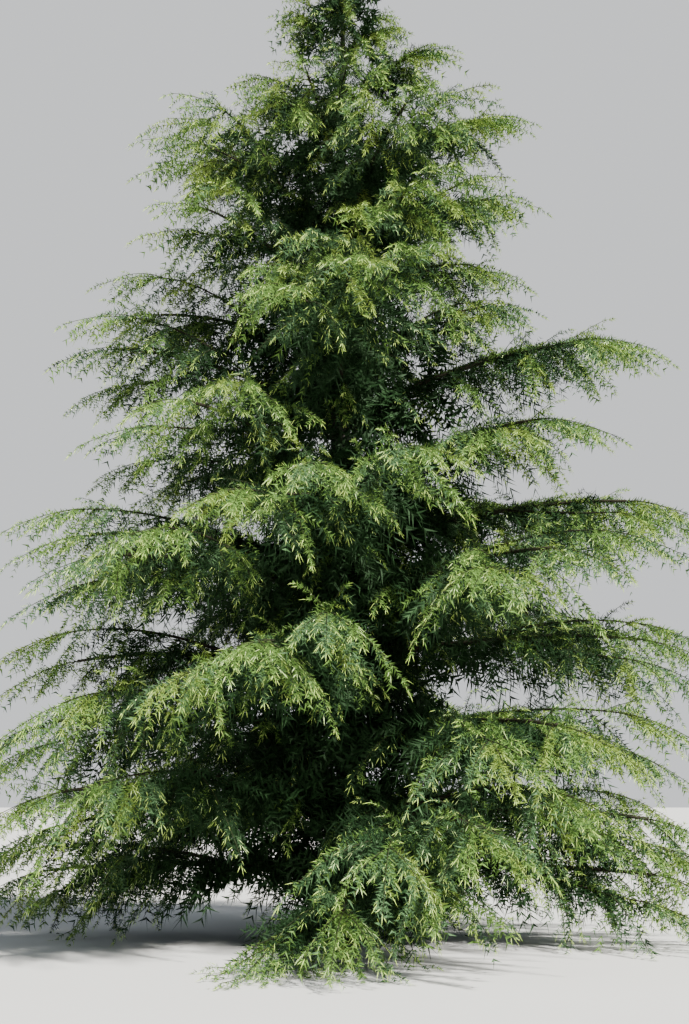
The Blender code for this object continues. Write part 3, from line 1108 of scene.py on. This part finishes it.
        # Mats round the trunk in the deep tint: painted shade over the trunk inside the crown
        facing = unit(np.array((*lines[0].at(0.2)[1][:2], 0.0)))
        for _ in range(int(16 + 18 * low)):
            z = min(limb.height + rng.uniform(-0.55, 0.75), HEIGHT - 0.8)
            out = turned(facing, rng.uniform(-65, 65))
            point = trunk_axis(z) + out * (trunk_radius(z) + rng.uniform(0.02, 0.28 + 0.6 * low) * size)
            along = np.cross(UP, out) * rng.uniform(-1, 1) + UP * rng.uniform(-1, 1)
            along += out * rng.uniform(0.0, 0.5)
            foliage.spray(Habit.MAT, point, unit(along), rng.uniform(0.45, 0.75) * size, dark, ANY_ROLL, 0.2)
        for _ in range(int(8 + 4.2 * limb.reach)):
            s = min(0.5, rng.uniform(0.1, 1.5) / limb.reach)
            point, ahead, _ = lines[0].at(s)
            out = turned(ahead, rng.uniform(-150, 150))
            out[2] = rng.uniform(-min(0.9, 0.1 + 0.35 * limb.height), 0.9)
            foliage.spray(Habit.CORE, point, unit(out), rng.uniform(0.55, 0.85) * size, dark, ANY_ROLL, 0.2)

    def build(self) -> list[Object]:
        """Grows the mass.

        Returns:
            Its needles and its twigs.
        """
        limb = self.limb
        foliage = self.foliage
        fork_rng = Random(limb.seed + 50)
        stem = limb.line(limb.start, limb.stop, 12)
        lines = [(stem, 0.04 if limb.start else 0.10)]
        lines.extend((limb.fork(rule, fork_rng), 0.14) for rule in FORKS)
        for line, first in lines:
            foliage.twigs.append(line)
            self.dress_line(line, first)
        self.fill([limb.line(0.04, limb.stop, 12), lines[1][0], lines[2][0]])
        if limb.height > LEADER_FROM:
            self.dress_leader()
        needles = mesh_piece(f"needles_{limb.name}", foliage.needle_arrays(), self.needles, False)
        twigs = mesh_piece(f"twigs_{limb.name}", foliage.twig_arrays(), self.twigs, True)
        for piece, slot in ((needles, "needles"), (twigs, "bough_bark")):
            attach(piece, "root")
            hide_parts(f"foliage_{limb.name}")
        return [needles, twigs]


@dataclass
class BarkBuilder:
    """Makes the relief of the bark on the trunk and the bare boughs.

    Args:
        trunk_sides: Points round the trunk.
        foot_rings: Rings round the foot of the trunk.
        trunk_rings: Rings round the rest of it.
        bough_sides: Points round a bough.
        bough_steps: Steps along a bough.
    """

    trunk_sides: int = 60
    foot_rings: int = 50
    trunk_rings: int = 170
    bough_sides: int = 20
    bough_steps: int = 44

    def relief(self, angle: Array, z: float, scale: float) -> Array:
        """Works out the depth of the furrows.

        Args:
            angle: Angles round the limb.
            z: Distance along the limb.
            scale: Furrows round the limb.

        Returns:
            Height from -1 in a furrow to 1 on a plate, at each angle.
        """
        wander = 0.5 * math.sin(z * 3.1) + 0.3 * math.sin(z * 7.3 + 1.0) + 0.18 * np.sin(z * 17.0 + angle * 2)
        plates = np.sin(scale * angle + 2.2 * wander)
        plates = plates + 0.6 * np.sin(0.5 * (scale - 1) * angle - 3.0 * wander + z * 9.0)
        cracks = np.sin(z * 38.0 + 3.0 * np.sin(2 * angle + z * 4.0))
        return np.tanh(1.6 * plates) * 0.75 + 0.25 * cracks * (plates > -0.2)

    def sweep(self, name: str, rings: list[Array], bark: Material) -> Object:
        """Extrudes a circle from ring to ring and closes both ends.

        Args:
            name: Name of the piece.
            rings: Points of each ring from root to tip.
            bark: Its material.

        Returns:
            The piece.
        """
        bm = bmesh.new()
        verts = bmesh.ops.create_circle(bm, segments=len(rings[0]), radius=1.0, cap_ends=False)["verts"]
        for vert, place in zip(verts, rings[0]):
            vert.co = place
        first = edges = list(bm.edges)
        order = {vert: k for k, vert in enumerate(verts)}
        for ring in rings[1:]:
            grown = bmesh.ops.extrude_edge_only(bm, edges=edges)["geom"]
            edges = [item for item in grown if isinstance(item, bmesh.types.BMEdge)]
            after = {}
            for vert in (item for item in grown if isinstance(item, bmesh.types.BMVert)):
                others = (edge.other_vert(vert) for edge in vert.link_edges)
                after[vert] = order[next(other for other in others if other in order)]
                vert.co = ring[after[vert]]
            order = after
        bmesh.ops.edgenet_fill(bm, edges=first)
        bmesh.ops.edgenet_fill(bm, edges=edges)
        bmesh.ops.recalc_face_normals(bm, faces=bm.faces)
        bmesh.ops.triangulate(bm, faces=bm.faces)
        for face in bm.faces:
            face.smooth = True
        return close_mesh(name, bm, bark)

    def trunk(self, bark: Material) -> Object:
        """Builds the trunk's bark.

        Args:
            bark: Its material.

        Returns:
            The piece.
        """
        sides = self.trunk_sides
        foot = np.linspace(0, 1.2, self.foot_rings)
        heights = np.concatenate((foot, np.linspace(1.23, HEIGHT, self.trunk_rings)))
        angle = 2 * math.pi * np.arange(sides) / sides
        rings = []
        for z in heights:
            base = trunk_radius(z)
            lobes = LOBE_DEPTH * math.exp(-z / LOBE_FADE) * np.cos(ROOT_LOBES * angle + 0.6)
            deep = min(BARK_DEPTH, 0.05 * base)
            radius = base * (1 + lobes) + deep * (self.relief(angle, z, 15.0) - 0.3)
            centre = trunk_axis(z)
            ring = (centre[0] + radius * np.cos(angle), centre[1] + radius * np.sin(angle), np.full(sides, z))
            rings.append(np.stack(ring, axis=-1))
        piece = self.sweep("trunk_bark", rings, bark)
        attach(piece, "root")
        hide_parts("trunk")
        return piece

    def bough(self, limb: Limb, bark: Material) -> Object:
        """Builds the bark of a bare bough.

        Args:
            limb: The limb.
            bark: Its material.

        Returns:
            The piece.
        """
        steps = self.bough_steps
        line = limb.line(0.6 * trunk_radius(limb.height) / limb.reach, limb.start + 0.01, steps)
        outward = circles(line.points, self.bough_sides)
        angle = 2 * math.pi * np.arange(self.bough_sides) / self.bough_sides
        rings = []
        for j in range(steps + 1):
            swell = 1 + 0.35 * math.exp(-j / 4.0)
            radius = line.radii[j] * (swell + 0.05 * self.relief(angle, j * 0.03 + limb.angle, 5.0))
            rings.append(line.points[j] + outward[j] * radius[:, None])
        piece = self.sweep(f"bough_bark_{limb.name}", rings, bark)
        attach(piece, "root")
        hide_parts(f"bough_{limb.name}")
        return piece


@dataclass
class Studio:
    """The floor, the light and the camera.

    Args:
        distance: From the camera to the trunk in metres.
        aside: Where the camera stands along X.
        eye: Height of the camera.
        pitch: How far the camera looks up in degrees.
        lens: Focal length in millimetres.
        floor_radius: Radius of the floor in metres.
        floor_level: Height of the floor, just under the tree.
    """

    distance: float = 16.4
    aside: float = -0.12
    eye: float = 1.6
    pitch: float = 11.26
    lens: float = 50.0
    floor_radius: float = 180.0
    floor_level: float = -0.004

    def floor(self) -> None:
        """Lays a plain pale floor, its tone varied a little by noise."""
        material, tree, coords = new_material("floor_pale")
        noise = add_node(tree, "TexNoise", {"Vector": coords, "Scale": 0.6, "Detail": 4.0})
        tone = add_node(tree, "ValToRGB", {"Fac": noise})
        tone.color_ramp.elements[0].color = (0.60, 0.60, 0.59, 1.0)
        tone.color_ramp.elements[1].color = (0.64, 0.64, 0.63, 1.0)
        shader = tree.nodes["Principled BSDF"]
        set_inputs(tree, shader, {"Base Color": tone, "Roughness": 0.9})
        bm = bmesh.new()
        bmesh.ops.create_circle(bm, segments=128, radius=self.floor_radius, cap_ends=True)
        bmesh.ops.translate(bm, verts=bm.verts, vec=(0.0, 0.0, self.floor_level))
        close_mesh("floor", bm, material)

    def light(self) -> None:
        """Sets a sun from the upper right, a weak fill from the left and a pale sky."""
        world = bpy.data.worlds.new("studio")
        bpy.context.scene.world = world
        world.use_nodes = True
        tree = world.node_tree
        sky = tree.nodes["Background"]
        set_inputs(tree, sky, {"Color": (0.80, 0.88, 1.0, 1.0), "Strength": 0.30})
        seen = add_node(tree, "Background", {"Color": (0.86, 0.88, 0.90, 1.0), "Strength": 1.0})
        path = add_node(tree, "LightPath").outputs["Is Camera Ray"]
        mix = add_node(tree, "MixShader", {"Fac": path, 1: sky, 2: seen})
        set_inputs(tree, tree.nodes["World Output"], {"Surface": mix})
        warm, cool = (1.0, 0.97, 0.90), (0.85, 0.92, 1.0)
        suns = (("key", 13.0, 4.0, (44, 0, 46), warm), ("fill", 0.6, 40.0, (60, 0, -60), cool))
        for name, energy, angle, turn, colour in suns:
            lamp = bpy.data.lights.new(name, "SUN")
            lamp.energy = energy
            lamp.angle = math.radians(angle)
            lamp.color = colour
            add_object(name, lamp).rotation_euler = [math.radians(value) for value in turn]

    def camera(self) -> None:
        """Stands the camera at eye height before the tree, looking up a little."""
        lens = bpy.data.cameras.new("camera")
        lens.sensor_width = 36.0
        lens.sensor_fit = "AUTO"
        lens.lens = self.lens
        made = add_object("camera", lens)
        made.location = (self.aside, -self.distance, self.eye)
        made.rotation_euler = (math.radians(90 + self.pitch), 0.0, 0.0)
        bpy.context.scene.camera = made


def main() -> None:
    """Builds the dressed tree, piece by piece."""
    logging.basicConfig(level=logging.INFO, format="%(message)s")
    studio = Studio()
    studio.camera()
    studio.light()
    studio.floor()
    pattern = bark_pattern()
    trunk_bark = TRUNK_BARK.build(pattern)
    bough_bark = BOUGH_BARK.build(pattern)
    twigs = [finish.build() for finish in TWIGS]
    needles = [finish.build() for finish in NEEDLES]
    patterns = spray_patterns()
    bark = BarkBuilder()
    pieces = [bark.trunk(trunk_bark)]
    for limb in all_limbs():
        if limb.start:
            pieces.append(bark.bough(limb, bough_bark))
        pieces.extend(MassBuilder(limb, patterns, needles, twigs).build())
    counts = [len(piece.data.polygons) for piece in pieces]
    for piece, count in zip(pieces, counts):
        log.info("%s: %d triangles", piece.name, count)
    log.info("triangles in all: %d", sum(counts))
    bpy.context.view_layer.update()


if __name__ == "__main__":
    main()
